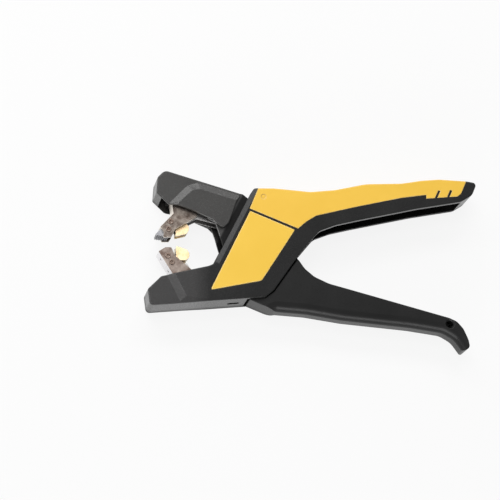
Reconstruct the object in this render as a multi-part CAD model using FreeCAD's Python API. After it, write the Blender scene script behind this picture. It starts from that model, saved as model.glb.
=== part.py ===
import FreeCAD, Part
import math
import os

# Automatic wire stripper lying on its side, in millimetres.
# +X runs from the jaws to the handle ends, +Y from the lever to the upper handle, +Z up.
# The origin is where the axis of the lever studs meets the side that the tool rests on.

os.makedirs("parts", exist_ok=True)

V = FreeCAD.Vector

# Clearances
TURN_GAP = 0.06
SLIDE_GAP = 0.25
LAYER_GAP = 0.15
RUN_GAP = 0.3

# Thickness layers, as distances from the middle plane
THICKNESS = 24.0
MID = THICKNESS / 2
SIDE = MID
PANEL_THICKNESS = 0.9
PANEL_FLOOR = SIDE - PANEL_THICKNESS
WALL_INSIDE = SIDE - 2.4
HANDLE_INSIDE = SIDE - 3.4
JAW_INSIDE = WALL_INSIDE + 0.2
COVER_THICKNESS = 1.3
EAR_OUTSIDE = WALL_INSIDE - RUN_GAP
EAR_INSIDE = EAR_OUTSIDE - 2.0
CHEEK_OUTSIDE = EAR_INSIDE - RUN_GAP
CHEEK_INSIDE = CHEEK_OUTSIDE - 2.1
STRIP_OUTSIDE = CHEEK_INSIDE - SLIDE_GAP
STRIP_INSIDE = STRIP_OUTSIDE - 0.8
BAR_HALF = STRIP_INSIDE - 0.85
BRACKET_INSIDE = STRIP_OUTSIDE + 0.6
BRACKET_OUTSIDE = BRACKET_INSIDE + 1.3
LEVER_HALF = WALL_INSIDE - RUN_GAP
EDGE_ROUND = 0.6
GRIP_ROUND = 6.0
JAW_STEP = 1.1
ARM_STEP = 1.0
RIM_WIDTH = 2.8
RIM_DEPTH = 1.3
INLAY_GAP = 0.2
PANEL_ROUND = 0.3

# Turning points and the angles of the squeeze
LEVER_AXIS = V(0, 0, 0)
JAW_AXIS = V(-13.1, 2.1, 0)
LEVER_TRAVEL = 28.0
JAW_TRAVEL = 6.5
SLIDE_TRAVEL = 12.0
LEVER_STUD_R = 2.6
JAW_STUD_R = 2.5
DRIVE_AT = V(-12.6, -33.1, 0)
DRIVE_R = 2.0
CAM_AT = V(-7.3, -12.8, 0)
CAM_R = 2.0
ROLLER_SHANK_R = 1.2
HANG_HOLE_AT = V(105.2, -53.2, 0)
HANG_HOLE_R = 2.15
BOSS_R = 4.4

# Lines that several pieces share
FLOOR_A = (-71.0, -42.6)
FLOOR_B = (-15.3, -37.5)
GRIP_FLOOR_A = (41.8, -47.8)
GRIP_FLOOR_B = (80.0, -51.2)
ROOF_A = (-63.1, 36.1)
ROOF_B = (-18.2, 22.8)
ROOF_WALL = 3.1
RIM_LOW = (-32.6, -15.3)
RIM_HIGH = (-12.7, 22.8)
STEP_HIGH = (-57.6, -26.8)
STEP_TURN = (-51.2, -39.6)
STEP_END = (-33.4, -42.1)
FLOOR_SLIT = (7.2, 3.8)
LOWER_PIN = (-54.5, -37.0)
UPPER_PIN = (-54.0, 24.5)
CLAMP_PIN_R = 1.5
CLAMP_PIN_HALF = BRACKET_OUTSIDE + 2.6
RIVET_R = 1.1
LOWER_RIVET = (-52.8, -20.2)
UPPER_RIVET = (-53.0, 8.6)
ROD_Y = -27.0
ROD_R = 2.0
SPRING_R = 3.1
SPRING_WIRE_R = 0.45
SPRING_TURNS = 9
SPRING_FRONT = -46.5
SPRING_STOP = -27.0
LOWER_EDGE = ((-56.3, -7.9), (-48.4, -10.3))
UPPER_EDGE = ((-56.3, -2.0), (-48.4, -0.1))
BLADE_HEIGHT = 7.6
BLADE_HALF = BRACKET_INSIDE - 0.6


def line_y(a, b, x):
    return a[1] + (b[1] - a[1]) * (x - a[0]) / (b[0] - a[0])


def floor_y(x):
    """The inside of the lower arm's floor."""
    return line_y(FLOOR_A, FLOOR_B, x)


def roof_y(x):
    """The inside of the upper jaw's top wall."""
    return line_y(ROOF_A, ROOF_B, x) - ROOF_WALL


# Drawing helpers
def corner_points(points):
    count = len(points)
    sides = []
    for i, point in enumerate(points):
        here = V(point[0], point[1], 0)
        radius = point[2] if len(point) > 2 else 0.0
        if radius == 0.0:
            sides.append((here, here, here))
            continue
        before = V(points[i - 1][0], points[i - 1][1], 0)
        after = V(points[(i + 1) % count][0], points[(i + 1) % count][1], 0)
        back = (before - here).normalize()
        on = (after - here).normalize()
        half = back.getAngle(on) / 2
        reach = radius / math.tan(half)
        middle = here + (back + on).normalize() * (radius / math.sin(half))
        top = middle + (here - middle).normalize() * radius
        sides.append((here + back * reach, top, here + on * reach))
    return sides


def outline(points):
    """A closed face from points (x, y) or (x, y, corner radius)."""
    sides = corner_points(points)
    edges = []
    for i, (start, top, end) in enumerate(sides):
        if start.distanceToPoint(end) > 1e-6:
            edges.append(Part.Arc(start, top, end).toShape())
        following = sides[(i + 1) % len(sides)][0]
        if end.distanceToPoint(following) > 1e-6:
            edges.append(Part.makeLine(end, following))
    return Part.Face(Part.Wire(edges))


def route(points):
    """An open line through points (x, y) or (x, y, corner radius)."""
    sides = corner_points(points)
    edges = []
    for i, (start, top, end) in enumerate(sides):
        if start.distanceToPoint(end) > 1e-6:
            edges.append(Part.Arc(start, top, end).toShape())
        if i + 1 < len(sides):
            edges.append(Part.makeLine(end, sides[i + 1][0]))
    return Part.Wire(edges)


def layer(face, low, high):
    """The face as a slab from low to high, measured from the middle plane."""
    slab = face.copy()
    slab.translate(V(0, 0, MID + low))
    return slab.extrude(V(0, 0, high - low))


def both(face, inside, outside):
    """The slab on the near side and its twin on the far side."""
    return [layer(face, inside, outside), layer(face, -outside, -inside)]


def across(face, half):
    return layer(face, -half, half)


def disc(at, radius):
    return Part.Face(Part.Wire(Part.makeCircle(radius, V(at[0], at[1], 0))))


def rod_across(at, radius, half):
    return across(disc(at, radius), half)


def round_along_x(start, end, y, z, radius):
    return Part.makeCylinder(radius, end - start, V(start, y, z), V(1, 0, 0))


def join(shapes):
    whole = shapes[0]
    for shape in shapes[1:]:
        whole = whole.fuse(shape)
    return whole.removeSplitter()


def turned(point, centre, degrees):
    angle = math.radians(degrees)
    dx = point.x - centre.x
    dy = point.y - centre.y
    return V(
        centre.x + dx * math.cos(angle) - dy * math.sin(angle),
        centre.y + dx * math.sin(angle) + dy * math.cos(angle),
        0,
    )


def save(shape, name):
    solids = shape.Solids
    whole = solids[0] if len(solids) == 1 else Part.makeCompound(solids)
    whole.exportStep("parts/" + name + ".step")


def mirrored(shape):
    return shape.mirror(V(0, 0, MID), V(0, 0, 1))


def softened(solid, radius):
    """Rounds the edges that run between the outer sides and the flat side faces."""
    rims = []
    for edge in solid.Edges:
        kinds = []
        for face in solid.ancestorsOfType(edge, Part.Face):
            u0, u1, v0, v1 = face.ParameterRange
            kinds.append(abs(face.normalAt((u0 + u1) / 2, (v0 + v1) / 2).z) > 0.5)
        if len(kinds) == 2 and kinds[0] != kinds[1]:
            rims.append(edge)
    return solid.makeFillet(radius, rims)


# Where a point of the lever goes, as seen from the jaw and from the upper carrier
def from_jaw(point, share):
    world = turned(point, LEVER_AXIS, LEVER_TRAVEL * share)
    return turned(world, JAW_AXIS, -JAW_TRAVEL * share)


def from_upper_slider(point, share):
    angle = math.radians(JAW_TRAVEL)
    along = V(math.cos(angle), -math.sin(angle), 0)
    return from_jaw(point, share) - along * (SLIDE_TRAVEL * share)


def path_slot(path, point, radius):
    """The track that a pin of the lever needs in another piece."""
    steps = [path(point, i / 6) for i in range(7)]
    left = []
    right = []
    for i, here in enumerate(steps):
        before = steps[max(i - 1, 0)]
        after = steps[min(i + 1, 6)]
        way = (after - before).normalize()
        side = V(-way.y, way.x, 0) * radius
        left.append(here + side)
        right.append(here - side)
    first = (steps[1] - steps[0]).normalize()
    last = (steps[6] - steps[5]).normalize()
    upper = Part.BSplineCurve()
    upper.interpolate(left)
    lower = Part.BSplineCurve()
    lower.interpolate(right[::-1])
    edges = [
        upper.toShape(),
        Part.Arc(left[6], steps[6] + last * radius, right[6]).toShape(),
        lower.toShape(),
        Part.Arc(right[0], steps[0] - first * radius, left[0]).toShape(),
    ]
    return Part.Face(Part.Wire(edges))


def capsule(a, b, radius):
    way = (b - a).normalize()
    side = V(-way.y, way.x, 0) * radius
    edges = [
        Part.makeLine(a + side, b + side),
        Part.Arc(b + side, b + way * radius, b - side).toShape(),
        Part.makeLine(b - side, a - side),
        Part.Arc(a - side, a - way * radius, a + side).toShape(),
    ]
    return Part.Face(Part.Wire(edges))


# Where the handle cover was filled in its mould
GATE_MARK_AT = V(-5.0, 21.1, 0)
GATE_MARK_R = 1.5

# Outlines
BODY = [
    (-72.6, -45.3, 2.5), (-73.7, -35.5, 1.5), (-65.8, -27.8, 2.5), (-48.4, -23.7),
    (-38.0, -21.3), (-35.3, -20.1, 3.0), (*RIM_LOW, 3.0), RIM_HIGH, (-10.4, 26.2, 1.8),
    (1.1, 26.4), (11.2, 25.7, 30.0), (23.1, 24.7, 20.0), (38.0, 26.3, 20.0), (56.7, 30.4, 30.0),
    (78.6, 31.3, 30.0), (90.5, 33.4, 30.0), (101.4, 34.4, 15.0), (117.9, 33.7), (124.5, 32.7, 2.0),
    (121.3, 25.2, 5.0), (114.5, 21.0, 6.0), (87.5, 16.1), (50.8, 8.0), (38.0, 4.9, 20.0),
    (27.9, 1.0, 8.0), (15.2, -14.0), (0.1, -35.1, 4.0), (-5.0, -39.3, 3.0), (-14.6, -40.2),
]

COVER_SIDE = [
    (-13.3, 13.7), (-8.2, 25.8), (-8.2, 60.0), (117.9, 60.0), (117.9, 33.7), (114.5, 26.0, 1.5),
    (112.2, 24.1), (93.1, 22.3), (93.1, 24.6), (78.4, 22.5), (51.0, 16.4), (32.7, 11.9, 6.0),
    (26.3, 10.3, 5.0), (20.7, 6.9, 4.0), (15.2, 2.2),
]

PANEL = [(-13.2, 12.6, 0.9), (13.7, 1.5, 0.9), (-6.9, -29.9, 3.5), (-37.7, -36.1, 0.9)]

JAW = [
    (-63.1, 36.1, 4.0), (-67.4, 31.8, 2.0), (-68.2, 22.5, 1.0), (-61.2, 15.6, 2.0),
    (-55.1, 15.0, 3.0), (-46.9, 12.0, 3.0), (-35.2, 7.0, 1.0), (-29.6, 1.5, 2.5), (-25.8, 4.7, 2.0),
    (-21.0, 18.1, 1.0), (-18.2, 22.8, 0.8),
]

RAISED_FOOT = [
    (-60.5, -30.0), (-60.5, 16.3), (-50.2, 26.8, 3.0), (-43.8, 29.0), (-10.0, 19.0), (-10.0, -30.0),
]

RAISED_CROWN = [
    (-55.3, -30.0), (-55.3, 16.3), (-47.0, 24.2, 3.0), (-42.5, 24.9), (-10.0, 15.3), (-10.0, -30.0),
]

TANG = [
    (-38.0, 16.0), (-38.0, 8.2), (-33.4, 5.8), (-31.4, -0.1, 2.0), (-29.1, -8.7, 3.0),
    (-10.0, -19.6, 3.0), (0.4, -20.4, 3.0), (1.2, -14.0, 2.5), (-4.8, -9.2, 2.0),
    (-6.6, 3.5, 4.0), (-13.5, 20.2, 1.5), (-17.0, 23.0, 1.0), (-24.0, 24.0),
]

# The underside of the lever, from its chin to its hooked end
CHIN = (0.8, -46.5)
HOOK_TIP = (112.9, -68.4)
UNDERSIDE = [
    (19.9, -47.8, 40.0), (41.8, -51.2, 60.0), (81.8, -54.9, 60.0), (101.5, -57.8, 12.0),
    (108.2, -61.8, 10.0),
]

LEVER = [
    (15.1, -15.2, 1.0), (19.2, -21.2, 8.0), (24.8, -26.0, 10.0), (33.4, -30.0, 20.0),
    (44.3, -32.9, 60.0), (105.0, -49.4, 8.0), (109.6, -51.5, 6.0), (113.4, -55.9, 8.0),
    (116.2, -62.5, 10.0), (117.0, -67.8, 2.4), (*HOOK_TIP, 1.6), *UNDERSIDE[::-1], (*CHIN, 2.0),
    (-13.9, -40.5, 0.8), (-13.1, -37.6), (-4.8, -38.9), (0.6, -35.4),
]

CHEEK = [
    (-6.2, 0.0, 5.5), (-1.0, 6.3, 4.5), (6.2, 1.0, 4.5), (16.0, -16.0), (19.0, -24.0),
    (8.0, -40.0), (-12.4, -39.8, 1.0), (-13.4, -36.9, 1.0), (-17.0, -36.9, 3.4), (-16.6, -29.0, 3.5),
    (-11.4, -13.5, 3.0),
]

LOWER_BRACKET = [
    (-66.8, -11.9, 0.6), (-62.8, -9.4, 1.0), (-59.2, -9.3, 1.0), (-57.2, -14.2, 1.0),
    (-47.6, -22.4, 1.0), (-47.6, floor_y(-47.6)), (-60.0, floor_y(-60.0)), (-58.9, -24.8, 1.0),
]

UPPER_BRACKET = [
    (-57.8, 11.0, 0.8), (-65.6, 2.9, 0.8), (-63.5, -0.3, 0.5), (-63.8, -3.3, 0.4), (-59.4, -3.2, 0.5),
    (-58.2, -1.4, 0.8), (-56.7, 1.7, 1.0), (-49.0, 6.2, 1.0), (-43.8, 9.6, 1.0),
    (-43.8, roof_y(-43.8)), (-60.4, roof_y(-60.4)),
]

LOWER_RIVETS = [(-61.2, -14.4), (-59.0, -18.2)]
UPPER_RIVETS = [(-60.6, 1.6), (-59.4, 6.2)]


# Body frame
def raised_slope(foot_points, crown_points, drop):
    """The near part of a raised zone that narrows from its foot up to its crown."""
    foot = outline(foot_points)
    crown = outline(crown_points)
    foot.translate(V(0, 0, MID + SIDE - drop))
    crown.translate(V(0, 0, MID + SIDE))
    return Part.makeLoft([foot.OuterWire, crown.OuterWire], True, True)


def wedge_cut(low, high, before, after, width, depth):
    """Cuts the near side down left of a line, deepest at the given width."""
    run = V(high[0] - low[0], high[1] - low[1], 0).normalize()
    left = V(-run.y, run.x, 0)
    start = V(low[0], low[1], MID + SIDE) - run * before
    length = math.dist(low, high) + before + after
    corners = [
        start, start + left * width + V(0, 0, -depth), start + left * 40 + V(0, 0, -depth),
        start + left * 40 + V(0, 0, 5), start + V(0, 0, 5), start,
    ]
    return Part.Face(Part.makePolygon(corners)).extrude(run * length)


def inward(point, low, high, distance):
    """The point moved to the right of a line."""
    run = V(high[0] - low[0], high[1] - low[1], 0).normalize()
    return (point[0] + run.y * distance, point[1] - run.x * distance)


def make_body():
    solid = across(outline(BODY), SIDE)
    front = wedge_cut(STEP_TURN, STEP_HIGH, 20, 20, 4.6, ARM_STEP)
    below = wedge_cut(STEP_END, STEP_TURN, 3, 30, 3.4, ARM_STEP)
    ramps = join([front, below])
    solid = softened(solid.cut([ramps, mirrored(ramps)]), EDGE_ROUND)
    inner_low = inward(RIM_LOW, RIM_LOW, RIM_HIGH, RIM_WIDTH)
    inner_high = inward(RIM_HIGH, RIM_LOW, RIM_HIGH, RIM_WIDTH)
    bevel = wedge_cut(inner_low, inner_high, 4, 6, RIM_WIDTH, RIM_DEPTH)
    solid = solid.cut([bevel, mirrored(bevel)])
    cavity = outline([
        FLOOR_A, FLOOR_B, (FLOOR_B[0], -70), (22.0, -70), (22.0, 22.6), (11.2, 22.2),
        (-9.0, 22.9), (-30.0, 50.0), (-71.0, 50.0),
    ])
    channel = outline([
        (21.0, -10), (112.0, 10), (115.5, 24.5, 3.0), (113.5, 29.6, 2.0), (101.4, 30.8), (90.5, 29.9),
        (78.6, 27.9), (56.7, 26.9), (38.0, 22.6), (23.1, 21.2), (21.0, 21.4),
    ])
    solid = solid.cut(across(cavity, WALL_INSIDE))
    solid = solid.cut(across(channel, HANDLE_INSIDE))
    block = outline([
        (-60.5, floor_y(-60.5) - 0.4), (-60.5, -33.0, 1.5), (-46.5, -33.0, 1.5),
        (-46.5, floor_y(-46.5) - 0.4),
    ])
    extra = both(block, BRACKET_OUTSIDE + LAYER_GAP, WALL_INSIDE + 0.5)
    stop = outline([
        (SPRING_STOP, floor_y(SPRING_STOP) - 0.4), (SPRING_STOP, -22.6, 0.8),
        (SPRING_STOP + 2.6, -22.0, 0.8), (SPRING_STOP + 2.6, floor_y(SPRING_STOP + 2.6) - 0.4),
    ])
    extra.append(across(stop, WALL_INSIDE + 0.5))
    extra += both(disc(LEVER_AXIS, BOSS_R), EAR_INSIDE, WALL_INSIDE + 0.5)
    for x in (30.0, 52.0, 74.0, 96.0):
        top = 21.8 + (x - 30.0) * 0.135
        rib = outline([(x, top - 3.0), (x + 1.6, top - 3.0), (x + 1.6, top + 1.8), (x, top + 1.8)])
        extra.append(across(rib, HANDLE_INSIDE + 0.5))
    solid = join([solid] + extra)
    holes = [round_along_x(SPRING_STOP - 5, SPRING_STOP + 10, ROD_Y, MID, ROD_R + RUN_GAP)]
    holes.append(rod_across(LOWER_PIN, CLAMP_PIN_R, CLAMP_PIN_HALF))
    for at, radius in ((LEVER_AXIS, LEVER_STUD_R), (JAW_AXIS, JAW_STUD_R)):
        holes += both(disc(at, radius), EAR_INSIDE - 1, SIDE + 1)
    holes += both(outline(PANEL), PANEL_FLOOR, SIDE + 1)
    slit = Part.makeBox(FLOOR_SLIT[0], 30, FLOOR_SLIT[1], V(-26.0, -60, MID - FLOOR_SLIT[1] / 2))
    sides = [edge for edge in slit.Edges if edge.Length > 29]
    holes.append(slit.makeFillet(FLOOR_SLIT[1] * 0.45, sides))
    holes.append(cover_skin(across(outline(BODY), SIDE)))
    return solid.cut(holes)


def cover_skin(hull):
    """The top skin and both side skins of the handle, cut out of its full form."""
    side = outline(COVER_SIDE)
    inner = [
        (-30.0, 24.9), (1.1, 25.0), (11.2, 24.3), (23.1, 23.3), (38.0, 24.9), (56.7, 29.0),
        (78.6, 29.9), (90.5, 32.0), (101.4, 33.0), (117.9, 32.3), (130.0, 32.3),
        (130.0, -60.0), (-30.0, -60.0),
    ]
    notches = []
    for foot in (98.5, 105.8):
        base = 22.6 + (foot - 98.5) * 0.06
        notches.append(outline([
            (foot - 0.7, base - 1.0), (foot + 0.7, base - 1.0), (foot + 3.4, base + 4.6),
            (foot + 2.0, base + 4.9),
        ]))
    core = across(outline(inner), SIDE - COVER_THICKNESS)
    blank = across(side, SIDE).common(hull).cut(core)
    for notch in notches:
        blank = blank.cut(across(notch, SIDE + 1))
    return blank


def make_cover():
    skin = cover_skin(softened(across(outline(BODY), SIDE), EDGE_ROUND))
    return skin.cut(both(disc(GATE_MARK_AT, GATE_MARK_R), SIDE - 0.25, SIDE + 1))


def make_panel():
    inlay = layer(outline(PANEL).makeOffset2D(-INLAY_GAP), PANEL_FLOOR, SIDE)
    rim = [edge for edge in inlay.Edges if edge.BoundBox.ZMin > MID + SIDE - 0.01]
    return inlay.makeFillet(PANEL_ROUND, rim)


# Upper jaw
def make_upper_jaw():
    low = softened(across(outline(JAW), SIDE - JAW_STEP), EDGE_ROUND)
    high = softened(across(outline(JAW), SIDE), EDGE_ROUND)
    solid = join([low.cut(across(outline(RAISED_FOOT), SIDE)), high.common(raised_zone())])
    cavity = outline([
        (-64.9, roof_y(-64.9), 1.0), (-65.4, 0.0), (-20.0, -20.0), (-12.0, 10.0), (-21.5, roof_y(-21.5)),
    ])
    solid = solid.cut(across(cavity, JAW_INSIDE))
    tang = both(outline(TANG), EAR_INSIDE, EAR_OUTSIDE)
    bridge = outline([(-38.0, 16.0), (-38.0, 8.5), (-33.0, 6.5), (-24.5, 20.0), (-24.0, 24.0)])
    extra = tang + both(bridge, EAR_INSIDE, WALL_INSIDE + 0.8)
    block = outline([
        (-60.5, 20.0, 1.5), (-46.5, 18.0, 1.5), (-46.5, roof_y(-46.5) + 0.4),
        (-60.5, roof_y(-60.5) + 0.4),
    ])
    extra += both(block, BRACKET_OUTSIDE + LAYER_GAP, WALL_INSIDE + 0.8)
    solid = join([solid] + extra)
    holes = [rod_across(UPPER_PIN, CLAMP_PIN_R, CLAMP_PIN_HALF)]
    holes += both(disc(JAW_AXIS, JAW_STUD_R + TURN_GAP), EAR_INSIDE - 1, EAR_OUTSIDE + 1)
    slot = path_slot(from_jaw, CAM_AT, CAM_R + TURN_GAP)
    holes += both(slot, EAR_INSIDE - 1, EAR_OUTSIDE + 1)
    return solid.cut(holes)


def raised_zone():
    """The room of the raised rear part through the whole jaw."""
    middle = across(outline(RAISED_FOOT), SIDE - JAW_STEP)
    slope = raised_slope(RAISED_FOOT, RAISED_CROWN, JAW_STEP)
    return join([middle, slope, mirrored(slope)])


# Lever
def make_lever():
    solid = softened(across(outline(LEVER), LEVER_HALF), EDGE_ROUND)
    past_tip = [2 * HOOK_TIP[i] - UNDERSIDE[-1][i] for i in (0, 1)]
    path = route([(CHIN[0] - 6.0, CHIN[1] - 6.5), (*CHIN, 5.0), *UNDERSIDE, past_tip])
    rounding = rim_rounding(path, LEVER_HALF, GRIP_ROUND)
    solid = solid.cut([rounding, mirrored(rounding)])
    open_top = outline([
        (13.0, -12.0), (-16.5, -34.0), (-16.5, -36.6), (-2.2, -43.0, 2.0), (20.0, -44.4, 8.0),
        GRIP_FLOOR_A, (*GRIP_FLOOR_B, 2.0), (84.0, -42.0), (80.0, -30.0),
    ])
    solid = solid.cut(across(open_top, CHEEK_OUTSIDE))
    extra = both(outline(CHEEK), CHEEK_INSIDE, CHEEK_OUTSIDE)
    for x in (44.0, 60.0, 74.0):
        low = line_y(GRIP_FLOOR_A, GRIP_FLOOR_B, x) - 0.7
        top = -39.5 - (x - 44.0) * 0.24
        rib = outline([(x, low), (x + 1.6, low), (x + 1.6, top), (x, top)])
        extra.append(across(rib, CHEEK_OUTSIDE + 0.5))
    solid = join([solid] + extra)
    holes = both(disc(LEVER_AXIS, LEVER_STUD_R + TURN_GAP), CHEEK_INSIDE - 1, CHEEK_OUTSIDE + 1)
    holes.append(rod_across(DRIVE_AT, DRIVE_R, CHEEK_OUTSIDE + 1))
    holes.append(rod_across(HANG_HOLE_AT, HANG_HOLE_R, LEVER_HALF + 1))
    for side in (1, -1):
        rim = HANG_HOLE_AT + V(0, 0, MID + side * LEVER_HALF)
        holes.append(Part.makeCone(HANG_HOLE_R + 0.85, HANG_HOLE_R, 0.85, rim, V(0, 0, -side)))
    holes += both(disc(CAM_AT, ROLLER_SHANK_R), CHEEK_INSIDE - 1, CHEEK_OUTSIDE + 1)
    return solid.cut(holes)


def rim_rounding(path, half, radius):
    """What a large rounding takes off along the near edge above a path."""
    start = path.OrderedVertexes[0].Point
    along = path.OrderedEdges[0].tangentAt(path.OrderedEdges[0].FirstParameter)
    outward = V(along.y, -along.x, 0)
    up = V(0, 0, 1)
    rim = start + up * (MID + half)
    centre = rim - (outward + up) * (radius - 0.03)
    top = centre + up * radius
    side = centre + outward * radius
    bend = centre + (outward + up).normalize() * radius
    section = Part.Wire([
        Part.Arc(top, bend, side).toShape(),
        Part.makeLine(side, side + outward * 2),
        Part.makeLine(side + outward * 2, rim + outward * 2 + up * 2),
        Part.makeLine(rim + outward * 2 + up * 2, top + up * 2),
        Part.makeLine(top + up * 2, top),
    ])
    path.translate(up * (MID + half))
    sweep = Part.BRepOffsetAPI.MakePipeShell(path)
    sweep.setBiNormalMode(up)
    sweep.add(section)
    sweep.build()
    sweep.makeSolid()
    return sweep.shape()


# Pins, studs and rollers
def make_stud(at, radius, inside):
    return layer(disc(at, radius), inside, PANEL_FLOOR)


def make_roller():
    shank = layer(disc(CAM_AT, ROLLER_SHANK_R), CHEEK_INSIDE, CHEEK_OUTSIDE)
    wheel = layer(disc(CAM_AT, CAM_R), CHEEK_OUTSIDE, EAR_OUTSIDE)
    return join([shank, wheel])


def make_drive_pin():
    return rod_across(DRIVE_AT, DRIVE_R, CHEEK_OUTSIDE)


# Blade carriers and blades
def make_lower_slider():
    head = outline([
        (-56.0, -31.0, 1.5), (-56.0, -18.0), (-49.6, -18.0, 0.8), (SPRING_FRONT, -23.6, 1.0),
        (SPRING_FRONT, -31.0, 1.0),
    ])
    rear = outline([
        (-12.0, -24.2, 1.5), (-1.4, -28.6, 1.5), (-1.4, -36.2, 1.0), (-5.2, -36.2, 1.0),
        (-5.2, -30.8, 1.0), (-14.8, -30.8, 1.0), (-14.8, -36.6, 1.0), (-17.2, -36.6, 1.0),
        (-18.8, -24.2, 1.5),
    ])
    solid = join([
        across(head, BAR_HALF),
        round_along_x(SPRING_FRONT - 1, -17.5, ROD_Y, MID, ROD_R),
        across(rear, BAR_HALF),
    ])
    slot = outline([(-60.0, -22.5), (-45.0, -22.5), (-45.0, 0.0), (-60.0, 0.0)])
    return solid.cut([across(slot, 1.5), rod_across(LOWER_RIVET, RIVET_R, 10)])


def blade_profile(edge, sign):
    """A blade from its slanted edge back to where it is held."""
    front, rear = edge
    back = front[1] + sign * (BLADE_HEIGHT + 1.1)
    return [
        (front[0], front[1], 0.5), (rear[0] - 1.5, rear[1] - sign * 0.3, 1.2),
        (rear[0], rear[1] + sign * 1.9, 1.6), (rear[0], rear[1] + sign * 4.3, 1.8),
        (rear[0] - 2.0, back, 1.0), (front[0], back),
    ]


def blade_throat(edge, sign):
    """The round hollow in a blade's edge."""
    front, rear = (V(x, y + sign * -1.2, MID) for x, y in edge)
    along = (rear - front).normalize()
    return Part.makeCylinder(2.9, 20, front - along * 5, along)


def make_lower_blade():
    collar = across(outline(blade_profile(LOWER_EDGE, -1)), BLADE_HALF)
    tongue = outline([(-55.6, -15.0), (-50.2, -15.0), (-50.2, -22.3, 0.8), (-55.6, -22.3, 0.8)])
    solid = collar.fuse(across(tongue, 1.45))
    head_top = outline([(-60.0, -18.0), (-40.0, -18.0), (-40.0, -30.0), (-60.0, -30.0)])
    solid = solid.cut(both(head_top, 1.45, 10))
    holes = [blade_throat(LOWER_EDGE, -1), rod_across(LOWER_RIVET, RIVET_R, 10)]
    return solid.cut(holes).removeSplitter()


def make_upper_blade():
    collar = across(outline(blade_profile(UPPER_EDGE, 1)), STRIP_INSIDE)
    shank = outline([(-56.3, 4.0), (-50.4, 4.0), (-50.4, 11.8), (-56.3, 11.8)])
    solid = collar.fuse(across(shank, STRIP_INSIDE))
    holes = [blade_throat(UPPER_EDGE, 1), rod_across(UPPER_RIVET, RIVET_R, 10)]
    return solid.cut(holes).removeSplitter()


def make_upper_slider():
    strip = outline([
        (-56.3, 12.8), (-56.3, 4.6, 1.0), (-50.4, 5.4, 1.0), (-44.0, 8.6, 2.0), (-29.0, 5.0, 4.0),
        (-23.0, -12.0, 3.0), (-18.2, -34.0, 3.0), (-17.0, -38.0 + 1.6, 2.0), (-9.2, -36.4, 2.0),
        (-8.6, -30.0, 2.0), (-16.0, -10.0, 3.0), (-18.0, 6.0, 4.0), (-24.0, 12.8, 3.0),
    ])
    roof = outline([(-56.3, 11.8), (-56.3, 12.8), (-38.0, 12.8), (-38.0, 11.8)])
    solid = join(both(strip, STRIP_INSIDE, STRIP_OUTSIDE) + [across(roof, STRIP_OUTSIDE)])
    holes = [rod_across(UPPER_RIVET, RIVET_R, 10)]
    stops = [from_upper_slider(DRIVE_AT, share) for share in (0.0, 0.5, 1.0)]
    for start, end in zip(stops, stops[1:]):
        holes.append(across(capsule(start, end, DRIVE_R + RUN_GAP), 8))
    return solid.cut(holes)


# Clamps
def bracket_shell(points, web):
    plates = both(outline(points), BRACKET_INSIDE, BRACKET_OUTSIDE)
    front = across(outline(web), BRACKET_INSIDE)
    return join(plates + [front])


def make_lower_clamp():
    web = [
        (-66.8, -11.9), (-65.7, -11.2), (-57.6, -24.6), (-58.8, floor_y(-58.8)),
        (-60.0, floor_y(-60.0)), (-58.9, -24.8),
    ]
    solid = bracket_shell(LOWER_BRACKET, web)
    holes = [rod_across(at, RIVET_R, 10) for at in LOWER_RIVETS]
    holes.append(rod_across(LOWER_PIN, CLAMP_PIN_R, 10))
    for x, y in ((-64.8, -15.2), (-60.4, -22.3)):
        holes.append(Part.makeCylinder(0.8, 8, V(x - 3, y - 2, MID), V(0.84, 0.54, 0)))
    return solid.cut(holes[:3]).cut(holes[3:])


def toothed(points, start, end, above):
    """A pad whose grip edge has fine teeth across it."""
    solid = across(outline(points), BRACKET_INSIDE)
    cuts = []
    count = 6
    for i in range(count):
        share = (i + 0.5) / count
        x = start[0] + (end[0] - start[0]) * share
        y = start[1] + (end[1] - start[1]) * share
        groove = outline([(x - 0.4, y + above * 0.1), (x + 0.4, y + above * 0.1), (x, y - above * 0.55)])
        cuts.append(across(groove, 10))
    return solid.cut(cuts)


def make_lower_pad():
    points = [
        (-65.2, -11.5), (-62.8, -9.8), (-59.3, -9.8), (-57.6, -14.0), (-57.2, -19.6), (-60.3, -19.6),
    ]
    solid = toothed(points, (-62.8, -9.8), (-59.3, -9.8), 1)
    return solid.cut([rod_across(at, RIVET_R, 10) for at in LOWER_RIVETS])


def make_upper_pad():
    points = [
        (-65.0, 2.2), (-68.0, -0.9), (-67.7, -2.1), (-61.0, -2.9), (-58.6, 0.2), (-57.0, 8.4),
        (-59.2, 8.4),
    ]
    solid = toothed(points, (-67.7, -2.1), (-61.0, -2.9), -1)
    return solid.cut([rod_across(at, RIVET_R, 10) for at in UPPER_RIVETS])


def make_upper_clamp():
    web = [
        (-57.8, 11.0), (-65.6, 2.9), (-65.0, 2.2), (-59.2, 8.4), (-56.4, 11.2),
        (-59.0, roof_y(-59.0)), (-60.4, roof_y(-60.4)),
    ]
    solid = bracket_shell(UPPER_BRACKET, web)
    holes = [rod_across(at, RIVET_R, 10) for at in UPPER_RIVETS]
    holes.append(rod_across(UPPER_PIN, CLAMP_PIN_R, 10))
    return solid.cut(holes)


def make_rivets(places, half, head):
    """Rivets through both plates of a clamp, with a dish in the middle of each head."""
    rivets = []
    for at in places:
        rivet = join([
            rod_across(at, RIVET_R, half),
            layer(disc(at, RIVET_R * 1.45), half, half + head),
            layer(disc(at, RIVET_R * 1.45), -half - head, -half),
        ])
        centre = V(at[0], at[1], MID)
        for side in (1, -1):
            outer = centre + V(0, 0, side * (half + head))
            rivet = rivet.cut(Part.makeCone(RIVET_R * 0.8, RIVET_R * 0.5, head, outer, V(0, 0, -side)))
        rivets.append(rivet)
    return Part.makeCompound(rivets)


def make_pin(at, radius, half):
    return rod_across(at, radius, half)


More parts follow.
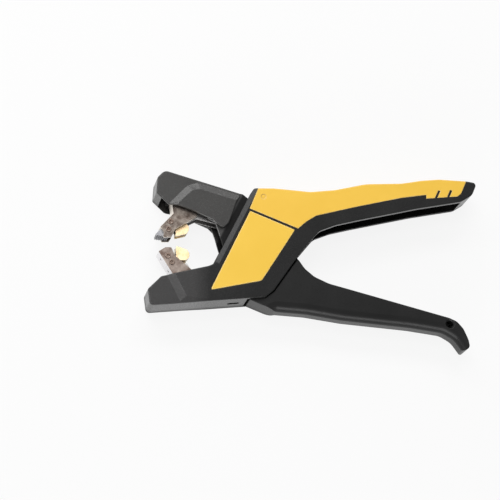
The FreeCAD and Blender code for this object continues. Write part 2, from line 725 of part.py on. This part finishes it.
# Return spring
def make_spring():
    length = SPRING_STOP - SPRING_FRONT - 2 * SPRING_WIRE_R
    start = SPRING_FRONT + SPRING_WIRE_R
    helix = Part.makeHelix(length / SPRING_TURNS, length, SPRING_R)
    section = Part.Wire(Part.makeCircle(SPRING_WIRE_R, V(SPRING_R, 0, 0), V(0, 1, 0)))
    coil = Part.Wire(helix.Edges).makePipeShell([section], True, True)
    coil.rotate(V(0, 0, 0), V(0, 1, 0), 90)
    coil.translate(V(start, ROD_Y, MID))
    return coil


save(make_body(), "body_frame")
save(make_cover(), "handle_cover")
panel = make_panel()
save(panel, "label_panel_near")
save(mirrored(panel), "label_panel_far")
save(make_upper_jaw(), "upper_jaw")
save(make_lever(), "lever")
lever_stud = make_stud(LEVER_AXIS, LEVER_STUD_R, CHEEK_INSIDE)
save(lever_stud, "lever_stud_near")
save(mirrored(lever_stud), "lever_stud_far")
jaw_stud = make_stud(JAW_AXIS, JAW_STUD_R, EAR_INSIDE)
save(jaw_stud, "jaw_stud_near")
save(mirrored(jaw_stud), "jaw_stud_far")
roller = make_roller()
save(roller, "cam_roller_near")
save(mirrored(roller), "cam_roller_far")
save(make_drive_pin(), "drive_pin")
save(make_lower_slider(), "lower_slider")
save(make_lower_blade(), "lower_blade")
save(make_upper_slider(), "upper_slider")
save(make_upper_blade(), "upper_blade")
save(make_pin(LOWER_RIVET, RIVET_R, BAR_HALF), "lower_blade_rivet")
save(make_pin(UPPER_RIVET, RIVET_R, STRIP_OUTSIDE), "upper_blade_rivet")
save(make_lower_clamp(), "lower_clamp")
save(make_lower_pad(), "lower_grip_pad")
save(make_rivets(LOWER_RIVETS, BRACKET_OUTSIDE, 0.5), "lower_clamp_rivets")
save(make_pin(LOWER_PIN, CLAMP_PIN_R, CLAMP_PIN_HALF), "lower_clamp_pin")
save(make_upper_clamp(), "upper_clamp")
save(make_upper_pad(), "upper_grip_pad")
save(make_rivets(UPPER_RIVETS, BRACKET_OUTSIDE, 0.5), "upper_clamp_rivets")
save(make_pin(UPPER_PIN, CLAMP_PIN_R, CLAMP_PIN_HALF), "upper_clamp_pin")
save(make_spring(), "return_spring")
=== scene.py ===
import math

import bpy
from mathutils import Matrix, Vector


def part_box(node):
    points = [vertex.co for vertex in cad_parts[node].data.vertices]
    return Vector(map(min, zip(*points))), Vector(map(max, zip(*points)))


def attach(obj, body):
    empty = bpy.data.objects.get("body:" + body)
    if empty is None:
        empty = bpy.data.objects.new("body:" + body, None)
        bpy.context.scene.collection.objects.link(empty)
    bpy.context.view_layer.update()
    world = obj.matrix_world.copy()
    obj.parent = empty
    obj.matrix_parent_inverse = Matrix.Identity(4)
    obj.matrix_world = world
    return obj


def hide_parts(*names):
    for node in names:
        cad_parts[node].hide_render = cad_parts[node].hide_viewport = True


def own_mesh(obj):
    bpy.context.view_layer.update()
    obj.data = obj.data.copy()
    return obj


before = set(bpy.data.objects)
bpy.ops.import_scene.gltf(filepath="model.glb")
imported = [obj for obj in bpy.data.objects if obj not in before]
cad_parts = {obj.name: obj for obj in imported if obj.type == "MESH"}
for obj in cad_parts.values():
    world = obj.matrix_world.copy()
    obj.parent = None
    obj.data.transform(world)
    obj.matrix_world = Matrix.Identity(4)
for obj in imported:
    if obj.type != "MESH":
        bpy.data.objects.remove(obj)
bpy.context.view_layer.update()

# Automatic wire stripper lying on its side, in metres.
# +X runs from the jaws to the handle ends, +Y from the lever to the upper handle, +Z up.

scene = bpy.context.scene
scene.view_settings.view_transform = "Standard"

# The spring's wire and turns
WIRE_RADIUS = 0.00045
COIL_RADIUS = 0.0031
COIL_HEIGHT = 0.012
COIL_TURNS = 9
STEPS_PER_TURN = 28
END_ROOM = 1.3 * WIRE_RADIUS

# How far the plastics' painted corner shade and the metals' darker corners reach, how dull and how dark these
# places get, and how high the grain and the rubbing lines stand
PLASTIC_SHADE_REACH = 0.012
STEEL_CORNER_REACH = 0.003
DULL_ROUGHNESS = 0.9
CORNER_DARK_SHARE = 0.45
GRAIN_HEIGHT = 0.0001
LINE_HEIGHT = 0.00003

# How far the grain and the lines move the roughness, down and up
GRAIN_GLOSS = (0.05, 0.07)
LINE_GLOSS = (0.08, 0.10)

# Where each mask starts and where it is full, in the noise, the edge's facing or the open sky of a corner
EDGE_SPAN = (0.995, 0.90)
PATCH_SPAN = (0.38, 0.62)
CLOUD_SPAN = (0.35, 0.70)
STAIN_SPAN = (0.34, 0.74)
FINE_SPAN = (0.3, 0.7)
CORNER_SPAN = (0.85, 0.3)

# Floor and background
FLOOR_HALF = 3.0
FLOOR_DROP = 0.0002
FLOOR_GREY = 0.86
FLOOR_GLOW = 0.98
FLOOR_GLOW_SHARE = 0.9
WORLD_LIGHT = 0.12
WORLD_SEEN = 1.0

# Softboxes: name, place, the point they face, width and height, watts
LAMPS = (
    ("front softbox", (-0.20, -0.95, 0.22), (0.0, 0.0, 0.01), (1.1, 0.4), 8.9),
    ("left softbox", (-0.75, -0.05, 0.22), (-0.05, 0.0, 0.01), (0.8, 0.35), 0.8),
    ("rear softbox", (-0.10, 0.95, 0.30), (0.0, 0.0, 0.01), (1.1, 0.4), 1.8),
    ("high left softbox", (-0.25, 0.20, 1.00), (0.0, 0.0, 0.0), (0.3, 0.3), 2.8),
    ("high rear softbox", (0.02, 0.66, 0.80), (0.0, 0.0, 0.0), (0.8, 0.3), 5.8),
    ("rear left softbox", (-0.55, 0.64, 0.70), (0.0, 0.0, 0.0), (0.35, 0.3), 2.0),
)

# Camera at the photograph's angle
CAMERA_PLACE = (-0.22872, -0.35139, 1.35187)
CAMERA_BACK = (-0.155, -0.245, 0.95705)
CAMERA_UP = (-0.02042, 0.96935, 0.24484)
SENSOR_WIDTH = 36.0
LENS = 171.07
VIEW_END = 20.0


# Node helpers
def add(tree, kind, links=None, **fields):
    """Adds a node, sets its own fields, and gives its inputs a socket or a value each."""
    node = tree.nodes.new(kind)
    for field, value in fields.items():
        setattr(node, field, value)
    for socket, source in (links or {}).items():
        join(tree, source, node.inputs[socket])
    return node


def join(tree, source, target):
    """Links a socket to an input, or writes a plain value into it."""
    if isinstance(source, bpy.types.NodeSocket):
        tree.links.new(source, target)
    else:
        target.default_value = source


def combine(tree, operation, one, other):
    return add(tree, "ShaderNodeMath", {0: one, 1: other}, operation=operation).outputs[0]


def ramp(tree, source, low=0.0, high=1.0, start=0.0, end=1.0):
    """Maps low to high onto start to end, held at both ends."""
    ends = {"Value": source, "From Min": low, "From Max": high, "To Min": start, "To Max": end}
    return add(tree, "ShaderNodeMapRange", ends).outputs["Result"]


def tint(tree, mask, plain, other):
    """The plain colour where the mask is 0, the other colour where it is 1."""
    mix = add(tree, "ShaderNodeMix", {"Factor": mask}, data_type="RGBA")
    colours = [socket for socket in mix.inputs if socket.type == "RGBA"]
    join(tree, plain, colours[0])
    join(tree, other, colours[1])
    return next(socket for socket in mix.outputs if socket.type == "RGBA")


def object_place(tree):
    return add(tree, "ShaderNodeTexCoord").outputs["Object"]


def noise(tree, place, scale, detail):
    return add(tree, "ShaderNodeTexNoise", {"Vector": place, "Scale": scale, "Detail": detail}).outputs["Fac"]


def new_group(name, inputs, outputs):
    """A shader node group: sockets in with their kind and default, sockets out with their kind."""
    group = bpy.data.node_groups.new(name, "ShaderNodeTree")
    for label, kind, value in inputs:
        socket = group.interface.new_socket(name=label, in_out="INPUT", socket_type=kind)
        socket.default_value = value
    for label, kind in outputs:
        group.interface.new_socket(name=label, in_out="OUTPUT", socket_type=kind)
    return group, group.nodes.new("NodeGroupInput").outputs, group.nodes.new("NodeGroupOutput").inputs


def use(tree, group, **values):
    """Places a shared effect in a material, with that material's own values."""
    node = add(tree, "ShaderNodeGroup", node_tree=group)
    for label, value in values.items():
        node.inputs[label.replace("_", " ")].default_value = value
    return node.outputs


# Shared effects
def make_edge_wear_and_highlight():
    """A mask of the outer edges, broken up by noise, and the rounded edge normal; the mask lightens edges as
    wear and as painted highlight.
    """
    group, given, result = new_group(
        "edge wear",
        [("Width", "NodeSocketFloat", 0.0004), ("Amount", "NodeSocketFloat", 0.5),
         ("Patchiness", "NodeSocketFloat", 400.0), ("Evenness", "NodeSocketFloat", 0.0)],
        [("Mask", "NodeSocketFloat"), ("Normal", "NodeSocketVector")],
    )
    rounded = add(group, "ShaderNodeBevel", {"Radius": given["Width"]}, samples=6).outputs[0]
    surface = add(group, "ShaderNodeNewGeometry").outputs["Normal"]
    facing = add(group, "ShaderNodeVectorMath", {0: rounded, 1: surface}, operation="DOT_PRODUCT")
    edge = ramp(group, facing.outputs["Value"], *EDGE_SPAN)
    broken = ramp(group, noise(group, object_place(group), given["Patchiness"], 4.0), *PATCH_SPAN)
    filled = combine(group, "MAXIMUM", broken, given["Evenness"])
    worn_and_lit = combine(group, "MULTIPLY", edge, filled)
    join(group, combine(group, "MULTIPLY", worn_and_lit, given["Amount"]), result["Mask"])
    join(group, rounded, result["Normal"])
    return group


def make_mould_grain():
    """Fine spark-eroded grain with slow waves of the moulded skin."""
    group, given, result = new_group(
        "mould grain",
        [("Grain Size", "NodeSocketFloat", 0.00035), ("Depth", "NodeSocketFloat", 0.5),
         ("Cloud Size", "NodeSocketFloat", 0.02)],
        [("Height", "NodeSocketFloat"), ("Speckle", "NodeSocketFloat"), ("Cloud", "NodeSocketFloat")],
    )
    place = object_place(group)
    fine_scale = combine(group, "DIVIDE", 1.0, given["Grain Size"])
    wide_scale = combine(group, "DIVIDE", 1.0, given["Cloud Size"])
    fine = noise(group, place, fine_scale, 3.0)
    pits = add(group, "ShaderNodeTexVoronoi", {"Vector": place, "Scale": fine_scale}).outputs["Distance"]
    height = combine(group, "ADD", fine, pits)
    join(group, combine(group, "MULTIPLY", height, given["Depth"]), result["Height"])
    join(group, fine, result["Speckle"])
    join(group, noise(group, place, wide_scale, 2.0), result["Cloud"])
    return group


def make_brushed_lines():
    """Long rubbing lines and faint stains on bare metal."""
    group, given, result = new_group(
        "brushed lines",
        [("Stretch", "NodeSocketVector", (300.0, 9000.0, 9000.0)), ("Turn", "NodeSocketFloat", 0.0),
         ("Stain Size", "NodeSocketFloat", 0.006)],
        [("Lines", "NodeSocketFloat"), ("Stains", "NodeSocketFloat")],
    )
    place = object_place(group)
    angle = {"Vector": place, "Angle": given["Turn"]}
    turned = add(group, "ShaderNodeVectorRotate", angle, rotation_type="Z_AXIS").outputs[0]
    drawn = add(group, "ShaderNodeVectorMath", {0: turned, 1: given["Stretch"]}, operation="MULTIPLY").outputs[0]
    stain_scale = combine(group, "DIVIDE", 1.0, given["Stain Size"])
    join(group, noise(group, drawn, 1.0, 4.0), result["Lines"])
    join(group, noise(group, place, stain_scale, 5.0), result["Stains"])
    return group


def make_deep_corners():
    """A mask of corners and narrow gaps, where the plastics get painted shade and the metals a darker colour."""
    group, given, result = new_group(
        "deep corners", [("Reach", "NodeSocketFloat", 0.004)], [("Mask", "NodeSocketFloat")])
    near = add(group, "ShaderNodeAmbientOcclusion", {"Distance": given["Reach"]}, samples=8)
    join(group, ramp(group, near.outputs["AO"], *CORNER_SPAN), result["Mask"])
    return group


def make_rim_reflection():
    """A mask of the surfaces that stand across the sheet, where a lighter colour paints the reflection of the
    pale surroundings.
    """
    group, given, result = new_group(
        "sheared rim",
        [("Flat From", "NodeSocketFloat", 0.75), ("Sharpness", "NodeSocketFloat", 0.3)],
        [("Mask", "NodeSocketFloat")],
    )
    normal = add(group, "ShaderNodeTexCoord").outputs["Normal"]
    upright = add(group, "ShaderNodeSeparateXYZ", {"Vector": normal}).outputs["Z"]
    flat = add(group, "ShaderNodeMath", {0: upright}, operation="ABSOLUTE").outputs[0]
    low = combine(group, "SUBTRACT", given["Flat From"], given["Sharpness"])
    join(group, ramp(group, flat, given["Flat From"], low), result["Mask"])
    return group


def make_fade():
    """A mask that grows along a direction, from one place to another."""
    group, given, result = new_group(
        "fade",
        [("Direction", "NodeSocketVector", (1.0, 0.0, 0.0)), ("From", "NodeSocketFloat", 0.0),
         ("To", "NodeSocketFloat", 0.01)],
        [("Mask", "NodeSocketFloat")],
    )
    links = {0: object_place(group), 1: given["Direction"]}
    along = add(group, "ShaderNodeVectorMath", links, operation="DOT_PRODUCT").outputs["Value"]
    join(group, ramp(group, along, given["From"], given["To"]), result["Mask"])
    return group


EDGE_WEAR_AND_HIGHLIGHT = make_edge_wear_and_highlight()
FADE = make_fade()
RIM_REFLECTION = make_rim_reflection()
DEEP_CORNERS = make_deep_corners()
MOULD_GRAIN = make_mould_grain()
BRUSHED_LINES = make_brushed_lines()


# Materials of this tool
def rgb(red, green, blue):
    return (red, green, blue, 1.0)


def grey(level):
    return rgb(level, level, level)


def start_material(name, **constants):
    material = bpy.data.materials.new(name)
    material.use_nodes = True
    shader = material.node_tree.nodes["Principled BSDF"]
    for label, value in constants.items():
        shader.inputs[label].default_value = value
    return material, material.node_tree, shader.inputs


def moulded_plastic(name, body, light, worn_and_lit, deep, rough, grain, depth, wear, ior=1.5,
                    fade=None, other=None, matt=0.0, width=0.0004, even=0.0):
    """Spark-eroded plastic, clouded from body to light, with edges lightened for wear and painted highlight, and
    painted shade in deep corners.

    fade is a direction with a start and an end, along which the colour goes over to other, used here for painted
    light and painted shade, and matt is how much of the gloss it loses there.
    """
    material, tree, surface = start_material(name, IOR=ior, Metallic=0.0)
    skin = use(tree, MOULD_GRAIN, Grain_Size=grain, Depth=1.0)
    edge = use(tree, EDGE_WEAR_AND_HIGHLIGHT, Width=width, Amount=wear, Evenness=even)
    corner = use(tree, DEEP_CORNERS, Reach=PLASTIC_SHADE_REACH)["Mask"]
    colour = tint(tree, ramp(tree, skin["Cloud"], *CLOUD_SPAN), body, light)
    dull = corner
    if fade:
        direction, start, end = fade
        faded = use(tree, FADE, Direction=direction, From=start, To=end)["Mask"]
        colour = tint(tree, faded, colour, other)
        dull = combine(tree, "MAXIMUM", combine(tree, "MULTIPLY", faded, matt), corner)
    # Painted shade: corners and narrow gaps darken to the deep colour
    colour = tint(tree, corner, colour, deep)
    # Edges lighten: wear and painted highlight
    join(tree, tint(tree, edge["Mask"], colour, worn_and_lit), surface["Base Color"])
    speckled = ramp(tree, skin["Speckle"], *FINE_SPAN, rough - GRAIN_GLOSS[0], rough + GRAIN_GLOSS[1])
    join(tree, ramp(tree, dull, start=speckled, end=DULL_ROUGHNESS), surface["Roughness"])
    bump = add(tree, "ShaderNodeBump", {
        "Height": skin["Height"], "Strength": depth, "Distance": GRAIN_HEIGHT, "Normal": edge["Normal"]})
    join(tree, bump.outputs[0], surface["Normal"])
    return material


def bare_metal(name, body, stain, worn_and_lit, rough, turn, line_depth, width=0.0002, rim=None, stain_size=0.006):
    """Rubbed metal with stains, edges brightened for wear and painted highlight, and darkened corners.

    rim is the painted reflection colour on a pressed sheet's cut edges, where the piece has them.
    """
    material, tree, surface = start_material(name, Metallic=1.0)
    marks = use(tree, BRUSHED_LINES, Turn=turn, Stain_Size=stain_size)
    edge = use(tree, EDGE_WEAR_AND_HIGHLIGHT, Width=width, Amount=0.8, Patchiness=900.0)
    corner = use(tree, DEEP_CORNERS, Reach=STEEL_CORNER_REACH)["Mask"]
    colour = tint(tree, ramp(tree, marks["Stains"], *STAIN_SPAN), body, stain)
    if rim:
        # Painted reflection: surfaces across the sheet take the lighter rim colour
        colour = tint(tree, use(tree, RIM_REFLECTION)["Mask"], colour, rim)
    # Corners and narrow gaps darken to a share of the body colour
    corner_dark = rgb(*(CORNER_DARK_SHARE * value for value in body[:3]))
    colour = tint(tree, corner, colour, corner_dark)
    join(tree, tint(tree, edge["Mask"], colour, worn_and_lit), surface["Base Color"])
    rubbed = ramp(tree, marks["Lines"], *FINE_SPAN, rough - LINE_GLOSS[0], rough + LINE_GLOSS[1])
    join(tree, rubbed, surface["Roughness"])
    bump = add(tree, "ShaderNodeBump", {
        "Height": marks["Lines"], "Strength": line_depth, "Distance": LINE_HEIGHT, "Normal": edge["Normal"]})
    join(tree, bump.outputs[0], surface["Normal"])
    return material


# Painted shade colour for the corners and gaps of the black plastics
PAINTED_SHADE_BLACK = grey(0.003)
# Across the housing's slanted rim: behind a line along that rim, the jaw is painted near black and matt, painted
# shade in the recess under the housing
RIM_NORMAL = (0.886, -0.463, 0)

# Towards the front arm the housing's black turns lighter: painted light, where the light falls more strongly
FRAME_BLACK = moulded_plastic(
    "frame black", body=grey(0.006), light=grey(0.010), worn_and_lit=grey(0.07), deep=PAINTED_SHADE_BLACK,
    rough=0.24, grain=0.00045, depth=0.18, wear=0.5, ior=1.29,
    fade=((1, 0, 0), -0.037, -0.047), other=rgb(0.040, 0.039, 0.039))
# The jaw's black is lighter than the housing's: painted light, a lit copy of the same black plastic
JAW_BLACK = moulded_plastic(
    "jaw black", body=rgb(0.036, 0.035, 0.034), light=rgb(0.044, 0.043, 0.041), worn_and_lit=rgb(0.12, 0.12, 0.11),
    deep=PAINTED_SHADE_BLACK, rough=0.24, grain=0.00045, depth=0.18, wear=0.5, ior=1.36,
    fade=(RIM_NORMAL, -0.0266, -0.0250), other=grey(0.002), matt=1.0)
LEVER_BLACK = moulded_plastic(
    "lever black", body=grey(0.006), light=grey(0.010), worn_and_lit=grey(0.07), deep=PAINTED_SHADE_BLACK,
    rough=0.31, grain=0.00045, depth=0.2, wear=0.5, ior=1.26)
# The yellows' light, even edge colour is a painted highlight along the rims, with some wear
COVER_YELLOW = moulded_plastic(
    "cover yellow", body=rgb(0.81, 0.495, 0.050), light=rgb(0.835, 0.518, 0.058), worn_and_lit=rgb(0.95, 0.77, 0.41),
    deep=rgb(0.48, 0.26, 0.02), rough=0.38, grain=0.0004, depth=0.18, wear=0.8, ior=1.4,
    width=0.0008, even=0.5)
PANEL_YELLOW = moulded_plastic(
    "panel yellow", body=rgb(0.82, 0.515, 0.053), light=rgb(0.84, 0.535, 0.060), worn_and_lit=rgb(0.98, 0.86, 0.53),
    deep=rgb(0.50, 0.28, 0.02), rough=0.34, grain=0.0003, depth=0.08, wear=1.0, ior=1.4,
    width=0.0009, even=0.8)

# The metals' rim colours are painted reflections on the surfaces across the sheet
LOWER_CLAMP_STEEL = bare_metal(
    "lower clamp steel", body=rgb(0.20, 0.168, 0.148), stain=rgb(0.075, 0.05, 0.041),
    worn_and_lit=rgb(0.92, 0.88, 0.83), rough=0.42, turn=0.9, line_depth=0.7,
    rim=rgb(0.82, 0.81, 0.82), stain_size=0.0042)
UPPER_CLAMP_STEEL = bare_metal(
    "upper clamp steel", body=rgb(0.165, 0.142, 0.124), stain=rgb(0.042, 0.028, 0.022),
    worn_and_lit=rgb(0.92, 0.88, 0.82), rough=0.40, turn=0.9, line_depth=0.9,
    rim=rgb(0.96, 0.90, 0.82), stain_size=0.0036)
RIVET_STEEL = bare_metal(
    "rivet steel", body=rgb(0.14, 0.10, 0.082), stain=rgb(0.08, 0.054, 0.042),
    worn_and_lit=rgb(0.78, 0.70, 0.62), rough=0.36, turn=0.5, line_depth=0.3)
PIN_STEEL = bare_metal(
    "pin steel", body=rgb(0.44, 0.43, 0.42), stain=rgb(0.33, 0.315, 0.30),
    worn_and_lit=grey(0.8), rough=0.28, turn=0.0, line_depth=0.3)
PAD_STEEL = bare_metal(
    "pad steel", body=rgb(0.24, 0.24, 0.25), stain=rgb(0.16, 0.16, 0.17),
    worn_and_lit=rgb(0.70, 0.70, 0.71), rough=0.44, turn=0.4, line_depth=0.6)
LOWER_PAD_STEEL = bare_metal(
    "lower pad steel", body=rgb(0.14, 0.105, 0.085), stain=rgb(0.085, 0.06, 0.046),
    worn_and_lit=rgb(0.66, 0.58, 0.50), rough=0.42, turn=0.4, line_depth=0.6)
CARRIER_STEEL = bare_metal(
    "carrier steel", body=rgb(0.34, 0.332, 0.325), stain=rgb(0.25, 0.243, 0.236),
    worn_and_lit=grey(0.72), rough=0.36, turn=0.2, line_depth=0.5)
SPRING_STEEL = bare_metal(
    "spring steel", body=grey(0.40), stain=rgb(0.30, 0.292, 0.284),
    worn_and_lit=grey(0.8), rough=0.3, turn=0.0, line_depth=0.2)
BLADE_GOLD = bare_metal(
    "blade gold", body=rgb(0.70, 0.56, 0.37), stain=rgb(0.46, 0.30, 0.14),
    worn_and_lit=rgb(0.99, 0.95, 0.84), rough=0.44, turn=1.3, line_depth=0.4,
    width=0.0004, rim=rgb(0.97, 0.90, 0.74), stain_size=0.0075)

# The studs, rollers, pins and blade rivets, which aren't named here, get the pin steel
FINISH = {
    "body_frame": FRAME_BLACK,
    "upper_jaw": JAW_BLACK,
    "lever": LEVER_BLACK,
    "handle_cover": COVER_YELLOW,
    "label_panel_near": PANEL_YELLOW,
    "label_panel_far": PANEL_YELLOW,
    "lower_clamp": LOWER_CLAMP_STEEL,
    "upper_clamp": UPPER_CLAMP_STEEL,
    "lower_clamp_rivets": RIVET_STEEL,
    "upper_clamp_rivets": RIVET_STEEL,
    "lower_grip_pad": LOWER_PAD_STEEL,
    "upper_grip_pad": PAD_STEEL,
    "lower_blade": BLADE_GOLD,
    "upper_blade": BLADE_GOLD,
    "lower_slider": CARRIER_STEEL,
    "upper_slider": CARRIER_STEEL,
    "return_spring": SPRING_STEEL,
}

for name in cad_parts:
    slots = bpy.data.objects[name].data.materials
    slots.clear()
    slots.append(FINISH.get(name, PIN_STEEL))


# Return spring, a smooth coil in place of the CAD spring, fixed to the body
def make_return_coil():
    low, high = (Vector(corner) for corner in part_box("return_spring"))
    middle = (low + high) / 2
    start = low.x + END_ROOM
    length = high.x - END_ROOM - start
    steps = COIL_TURNS * STEPS_PER_TURN

    curve = bpy.data.curves.new("coil wire", "CURVE")
    curve.dimensions = "3D"
    curve.bevel_depth = WIRE_RADIUS
    curve.bevel_resolution = 4
    spline = curve.splines.new("POLY")
    spline.points.add(steps)
    for i, point in enumerate(spline.points):
        share = i / steps
        angle = share * COIL_TURNS * 2 * math.pi
        point.co = (
            start + share * length,
            middle.y + COIL_RADIUS * math.sin(angle),
            COIL_HEIGHT + COIL_RADIUS * math.cos(angle),
            1.0,
        )
    maker = bpy.data.objects.new("coil maker", curve)
    scene.collection.objects.link(maker)
    mesh = bpy.data.meshes.new_from_object(maker)
    bpy.data.objects.remove(maker)

    coil = bpy.data.objects.new("return_coil", mesh)
    scene.collection.objects.link(coil)
    mesh.shade_smooth()
    mesh.materials.clear()
    mesh.materials.append(SPRING_STEEL)
    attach(coil, "body")
    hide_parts("return_spring")
    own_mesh(coil)


make_return_coil()


# Floor and background
def background_seen(tree):
    """Rays that see the pale background: those of the camera, of mirrors and of clear pieces."""
    ray = add(tree, "ShaderNodeLightPath").outputs
    mirrored = combine(tree, "MAXIMUM", ray["Is Glossy Ray"], ray["Is Transmission Ray"])
    return combine(tree, "MAXIMUM", ray["Is Camera Ray"], mirrored)


def make_floor():
    mesh = bpy.data.meshes.new("floor")
    corners = [(x * FLOOR_HALF, y * FLOOR_HALF, 0) for x, y in ((-1, -1), (1, -1), (1, 1), (-1, 1))]
    mesh.from_pydata(corners, [], [(0, 1, 2, 3)])
    floor = bpy.data.objects.new("floor", mesh)
    scene.collection.objects.link(floor)
    floor.location.z = -FLOOR_DROP

    material = bpy.data.materials.new("pale floor")
    material.use_nodes = True
    tree = material.node_tree
    tree.nodes.clear()
    matt = add(tree, "ShaderNodeBsdfDiffuse", {"Color": grey(FLOOR_GREY)}).outputs[0]
    glow = add(tree, "ShaderNodeEmission", {"Color": grey(1.0), "Strength": FLOOR_GLOW}).outputs[0]
    share = combine(tree, "MULTIPLY", background_seen(tree), FLOOR_GLOW_SHARE)
    both = add(tree, "ShaderNodeMixShader", {0: share, 1: matt, 2: glow}).outputs[0]
    add(tree, "ShaderNodeOutputMaterial", {"Surface": both})
    mesh.materials.append(material)


def make_world():
    world = bpy.data.worlds.new("studio")
    scene.world = world
    world.use_nodes = True
    tree = world.node_tree
    tree.nodes.clear()
    level = ramp(tree, background_seen(tree), start=WORLD_LIGHT, end=WORLD_SEEN)
    back = add(tree, "ShaderNodeBackground", {"Color": grey(1.0), "Strength": level}).outputs[0]
    add(tree, "ShaderNodeOutputWorld", {"Surface": back})


make_floor()
make_world()


# Light
def make_lamp(name, place, target, size, power):
    light = bpy.data.lights.new(name, "AREA")
    light.shape = "RECTANGLE"
    light.size, light.size_y = size
    light.energy = power
    lamp = bpy.data.objects.new(name, light)
    scene.collection.objects.link(lamp)
    lamp.location = place
    way = Vector(target) - Vector(place)
    lamp.rotation_euler = way.to_track_quat("-Z", "Y").to_euler()


for lamp in LAMPS:
    make_lamp(*lamp)


# Camera
def make_camera():
    lens = bpy.data.cameras.new("camera")
    lens.sensor_width = SENSOR_WIDTH
    lens.lens = LENS
    lens.clip_end = VIEW_END
    camera = bpy.data.objects.new("camera", lens)
    scene.collection.objects.link(camera)
    back = Vector(CAMERA_BACK).normalized()
    right = Vector(CAMERA_UP).cross(back).normalized()
    up = back.cross(right)
    turn = Matrix((right, up, back)).transposed()
    camera.matrix_world = Matrix.Translation(CAMERA_PLACE) @ turn.to_4x4()
    scene.camera = camera


make_camera()
